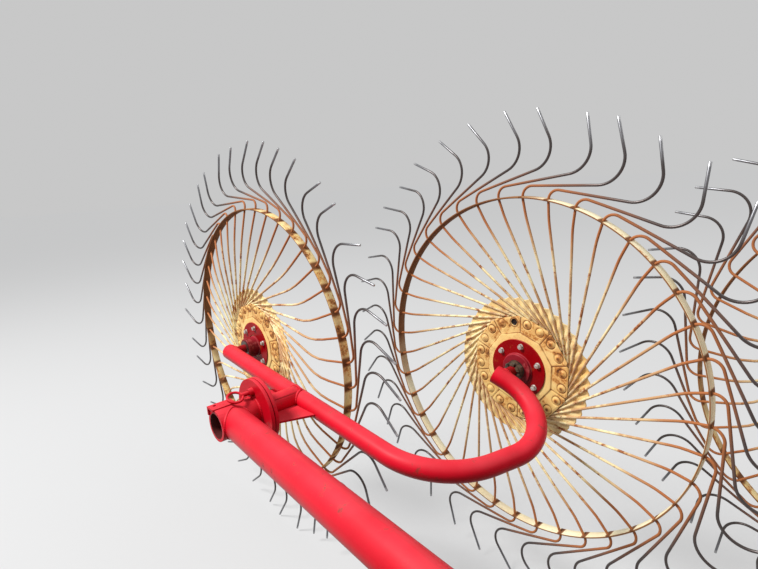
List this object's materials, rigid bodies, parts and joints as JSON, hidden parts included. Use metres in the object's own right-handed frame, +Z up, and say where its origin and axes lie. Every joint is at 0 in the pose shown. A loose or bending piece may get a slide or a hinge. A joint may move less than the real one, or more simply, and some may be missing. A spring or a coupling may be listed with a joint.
{
  "type": "rotary hay rake",
  "caption": "Three-point mounted finger-wheel hay rake: tined wheels in pairs on swinging crank arms, carried by a skewed tube frame with a hitch mast and parking leg.",
  "frame": {"origin": "on the ground, below the middle of the rake's overall outline", "axes": "+Z up; +X along the wheel planes, from the leading wheel to the trailing wheel; +Y along the wheel axles, away from the tractor"},
  "size_m": [3.909, 2.1649, 1.4135],
  "materials": {
    "red_paint": "gloss",
    "wheel_cream": "worn, rust streaked",
    "bare_steel": "worn"
  },
  "bodies": {
    "frame": {"main_tube": "red_paint", "pivot_sleeve_a": "red_paint", "cross_tube": "red_paint", "brace": "red_paint", "index_disc_a": "red_paint", "index_disc_b": "red_paint", "lock_pin_a": "bare_steel", "lock_pin_b": "bare_steel", "hitch_beam": "red_paint", "mast": "red_paint", "mast_stay_left": "red_paint", "mast_stay_right": "red_paint", "top_pin": "bare_steel", "lower_pin_left": "bare_steel", "lower_pin_right": "bare_steel", "strut_left": "red_paint", "strut_right": "red_paint", "leg_socket": "red_paint"},
    "leg": {"leg": "red_paint"},
    "arm_a": {"arm_a": "red_paint", "arm_disc_a": "red_paint", "arm_shaft_a": "red_paint", "arm_gusset_a": "red_paint", "spindle_1": "bare_steel", "spindle_2": "bare_steel"},
    "arm_b": {"arm_b": "red_paint", "arm_disc_b": "red_paint", "arm_shaft_b": "red_paint", "arm_gusset_b": "red_paint", "spindle_3": "bare_steel", "spindle_4": "bare_steel"},
    "wheel_1": {"wheel_1": "wheel_cream", "plate_1": "wheel_cream", "hub_1": "red_paint"},
    "wheel_2": {"wheel_2": "wheel_cream", "plate_2": "wheel_cream", "hub_2": "red_paint"},
    "wheel_3": {"wheel_3": "wheel_cream", "plate_3": "wheel_cream", "hub_3": "red_paint"},
    "wheel_4": {"wheel_4": "wheel_cream", "plate_4": "wheel_cream", "hub_4": "red_paint"}
  },
  "joints": [
    {"name": "arm_a_swing", "type": "hinge", "parent": "frame", "child": "arm_a", "pos_m": [-0.839, -0.1395, 0.66587], "axis": [0, 1, 0], "range_deg": [-15, 195]},
    {"name": "arm_b_swing", "type": "hinge", "parent": "frame", "child": "arm_b", "pos_m": [0.825, 0.5545, 0.66587], "axis": [0, 1, 0], "range_deg": [-15, 195]},
    {"name": "wheel_1_spin", "type": "hinge", "parent": "arm_a", "child": "wheel_1", "pos_m": [-1.248, -0.0075, 0.70787], "axis": [0, 1, 0], "continuous": true},
    {"name": "wheel_2_spin", "type": "hinge", "parent": "arm_a", "child": "wheel_2", "pos_m": [-0.416, 0.3395, 0.70787], "axis": [0, 1, 0], "continuous": true},
    {"name": "wheel_3_spin", "type": "hinge", "parent": "arm_b", "child": "wheel_3", "pos_m": [0.416, 0.6865, 0.70787], "axis": [0, 1, 0], "continuous": true},
    {"name": "wheel_4_spin", "type": "hinge", "parent": "arm_b", "child": "wheel_4", "pos_m": [1.248, 1.0335, 0.70787], "axis": [0, 1, 0], "continuous": true},
    {"name": "leg_slide", "type": "slide", "parent": "frame", "child": "leg", "axis": [0, 0, 1], "range_m": [0, 0.3]}
  ]
}
